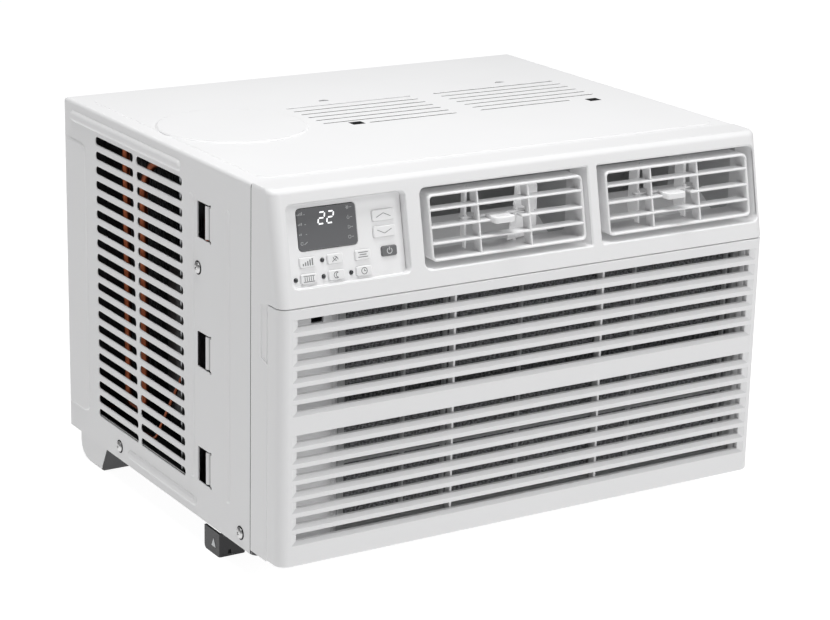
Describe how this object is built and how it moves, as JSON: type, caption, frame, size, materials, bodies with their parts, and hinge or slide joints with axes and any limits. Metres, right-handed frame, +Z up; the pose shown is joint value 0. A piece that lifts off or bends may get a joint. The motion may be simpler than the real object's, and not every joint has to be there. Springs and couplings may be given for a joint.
{
  "type": "window air conditioner",
  "caption": "Boxy window air conditioner with a tilting slotted front grille, push-button panel and swivelling louvres above it, side vents, rear feet and sill brackets.",
  "frame": {"origin": "under the middle of the object, on the surface its rear feet and sill brackets stand on", "axes": "+X to the right seen from the front, +Y from the front grille to the back, +Z up"},
  "size_m": [0.4746, 0.396, 0.3295],
  "materials": {
    "cabinet_steel": "satin",
    "bezel_plastic": "satin",
    "bracket_steel": "satin",
    "screw_steel": "gloss",
    "filter_plastic": "matte",
    "filter_mesh": "matte",
    "display_smoke": "gloss",
    "power_key": "satin",
    "lens_dark": "gloss",
    "board_green": "satin",
    "galvanised": "satin",
    "black_plastic": "matte",
    "duct_foam": "matte",
    "coil_aluminium": "satin",
    "copper": "satin",
    "compressor_black": "satin",
    "motor_steel": "satin"
  },
  "bodies": {
    "cabinet": {"cabinet_shell": "cabinet_steel", "base_pan": "cabinet_steel", "rear_guard": "cabinet_steel", "front_bezel": "bezel_plastic", "control_panel": "bezel_plastic", "discharge_duct": "bezel_plastic", "sash_bracket_left": "bracket_steel", "sash_bracket_right": "bracket_steel", "screw_left_1": "screw_steel", "screw_left_2": "screw_steel", "screw_left_3": "screw_steel", "screw_right_1": "screw_steel", "screw_right_2": "screw_steel", "screw_right_3": "screw_steel", "display_window": "display_smoke", "light_pipe": "lens_dark", "control_board": "board_green", "control_box": "galvanised", "bulkhead": "galvanised", "motor_bracket": "galvanised", "condenser_shroud": "black_plastic", "terminal_cover": "black_plastic", "blower_scroll": "duct_foam", "evaporator_coil": "coil_aluminium", "condenser_coil": "coil_aluminium", "discharge_tube": "copper", "suction_tube": "copper", "capillary_tube": "copper", "compressor": "compressor_black", "accumulator": "compressor_black", "fan_motor": "motor_steel", "run_capacitor": "motor_steel"},
    "intake_grille": {"intake_grille": "bezel_plastic"},
    "air_filter": {"filter_frame": "filter_plastic", "filter_mesh": "filter_mesh"},
    "fan_rotor": {"motor_shaft": "screw_steel", "blower_wheel": "black_plastic", "condenser_fan": "black_plastic"},
    "button_filter": {"button_filter": "bezel_plastic"},
    "button_sleep": {"button_sleep": "bezel_plastic"},
    "button_timer": {"button_timer": "bezel_plastic"},
    "button_fan_speed": {"button_fan_speed": "bezel_plastic"},
    "button_eco": {"button_eco": "bezel_plastic"},
    "button_mode": {"button_mode": "bezel_plastic"},
    "button_power": {"button_power": "power_key"},
    "button_down": {"button_down": "bezel_plastic"},
    "button_up": {"button_up": "bezel_plastic"},
    "louver_left": {"louver_frame_left": "bezel_plastic"},
    "link_left": {"link_bar_left": "bezel_plastic"},
    "vane_left_1": {"vane_left_1": "bezel_plastic"},
    "vane_left_2": {"vane_left_2": "bezel_plastic"},
    "louver_right": {"louver_frame_right": "bezel_plastic"},
    "link_right": {"link_bar_right": "bezel_plastic"},
    "vane_right_1": {"vane_right_1": "bezel_plastic"},
    "vane_right_2": {"vane_right_2": "bezel_plastic"}
  },
  "joints": [
    {"name": "grille_tilt", "type": "hinge", "parent": "cabinet", "child": "intake_grille", "pos_m": [0, -0.1775, 0.029], "axis": [1, 0, 0], "range_deg": [0, 35]},
    {"name": "filter_slide", "type": "slide", "parent": "intake_grille", "child": "air_filter", "axis": [0, 0, 1], "range_m": [0, 0.008]},
    {"name": "fan_spin", "type": "hinge", "parent": "cabinet", "child": "fan_rotor", "pos_m": [0.05, 0.037, 0.1635], "axis": [0, 1, 0], "continuous": true},
    {"name": "press_filter", "type": "slide", "parent": "cabinet", "child": "button_filter", "axis": [0, 0.9785, -0.206], "range_m": [0, 0.001], "stiffness_N_per_m": 400, "springref_m": -0.0005},
    {"name": "press_sleep", "type": "slide", "parent": "cabinet", "child": "button_sleep", "axis": [0, 0.9785, -0.206], "range_m": [0, 0.001], "stiffness_N_per_m": 400, "springref_m": -0.0005},
    {"name": "press_timer", "type": "slide", "parent": "cabinet", "child": "button_timer", "axis": [0, 0.9785, -0.206], "range_m": [0, 0.001], "stiffness_N_per_m": 400, "springref_m": -0.0005},
    {"name": "press_fan_speed", "type": "slide", "parent": "cabinet", "child": "button_fan_speed", "axis": [0, 0.9785, -0.206], "range_m": [0, 0.001], "stiffness_N_per_m": 400, "springref_m": -0.0005},
    {"name": "press_eco", "type": "slide", "parent": "cabinet", "child": "button_eco", "axis": [0, 0.9785, -0.206], "range_m": [0, 0.001], "stiffness_N_per_m": 400, "springref_m": -0.0005},
    {"name": "press_mode", "type": "slide", "parent": "cabinet", "child": "button_mode", "axis": [0, 0.9785, -0.206], "range_m": [0, 0.001], "stiffness_N_per_m": 400, "springref_m": -0.0005},
    {"name": "press_power", "type": "slide", "parent": "cabinet", "child": "button_power", "axis": [0, 0.9785, -0.206], "range_m": [0, 0.001], "stiffness_N_per_m": 400, "springref_m": -0.0005},
    {"name": "press_down", "type": "slide", "parent": "cabinet", "child": "button_down", "axis": [0, 0.9785, -0.206], "range_m": [0, 0.001], "stiffness_N_per_m": 400, "springref_m": -0.0005},
    {"name": "press_up", "type": "slide", "parent": "cabinet", "child": "button_up", "axis": [0, 0.9785, -0.206], "range_m": [0, 0.001], "stiffness_N_per_m": 400, "springref_m": -0.0005},
    {"name": "louver_left_tilt", "type": "hinge", "parent": "cabinet", "child": "louver_left", "pos_m": [-0.023, -0.174, 0.2855], "axis": [1, 0, 0], "range_deg": [-20, 20]},
    {"name": "link_left_slide", "type": "slide", "parent": "louver_left", "child": "link_left", "axis": [1, 0, 0], "range_m": [0, 0.00544]},
    {"name": "vane_left_1_turn", "type": "hinge", "parent": "louver_left", "child": "vane_left_1", "pos_m": [-0.054, -0.1712, 0.2855], "axis": [0, 0, 1], "range_deg": [0, 54]},
    {"name": "vane_left_2_turn", "type": "hinge", "parent": "louver_left", "child": "vane_left_2", "pos_m": [-0.0055, -0.1712, 0.2855], "axis": [0, 0, 1], "range_deg": [0, 54]},
    {"name": "louver_right_tilt", "type": "hinge", "parent": "cabinet", "child": "louver_right", "pos_m": [0.148, -0.174, 0.2855], "axis": [1, 0, 0], "range_deg": [-20, 20]},
    {"name": "link_right_slide", "type": "slide", "parent": "louver_right", "child": "link_right", "axis": [1, 0, 0], "range_m": [0, 0.00544]},
    {"name": "vane_right_1_turn", "type": "hinge", "parent": "louver_right", "child": "vane_right_1", "pos_m": [0.117, -0.1712, 0.2855], "axis": [0, 0, 1], "range_deg": [0, 54]},
    {"name": "vane_right_2_turn", "type": "hinge", "parent": "louver_right", "child": "vane_right_2", "pos_m": [0.1655, -0.1712, 0.2855], "axis": [0, 0, 1], "range_deg": [0, 54]}
  ],
  "couplings": [
    {"joint": "vane_left_1_turn", "follows": "link_left_slide", "rad_per_m": 173},
    {"joint": "vane_left_2_turn", "follows": "link_left_slide", "rad_per_m": 173},
    {"joint": "vane_right_1_turn", "follows": "link_right_slide", "rad_per_m": 173},
    {"joint": "vane_right_2_turn", "follows": "link_right_slide", "rad_per_m": 173}
  ]
}
